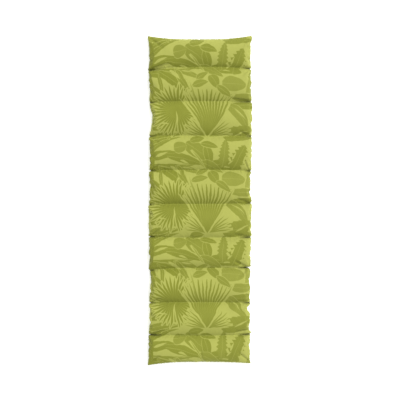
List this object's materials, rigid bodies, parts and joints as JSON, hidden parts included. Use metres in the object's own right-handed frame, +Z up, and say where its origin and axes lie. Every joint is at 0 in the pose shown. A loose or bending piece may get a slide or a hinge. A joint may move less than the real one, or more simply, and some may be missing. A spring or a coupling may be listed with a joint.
{
  "type": "sun lounger cushion",
  "caption": "Long flat filled cushion for a sun lounger, stitched across into soft crosswise channels, with drawn-in sides and pointed corners.",
  "frame": {"origin": "middle of the cushion's bounding box in plan, at the height of the surface it rests on", "axes": "+Z up, +Y along the cushion towards its head end, +X to the right seen from above"},
  "size_m": [0.6, 1.9, 0.0719],
  "materials": {
    "printed_cloth": "matt woven cloth with a tonal green leaf print"
  },
  "bodies": {
    "root": {"cushion": "printed_cloth"}
  },
  "joints": []
}
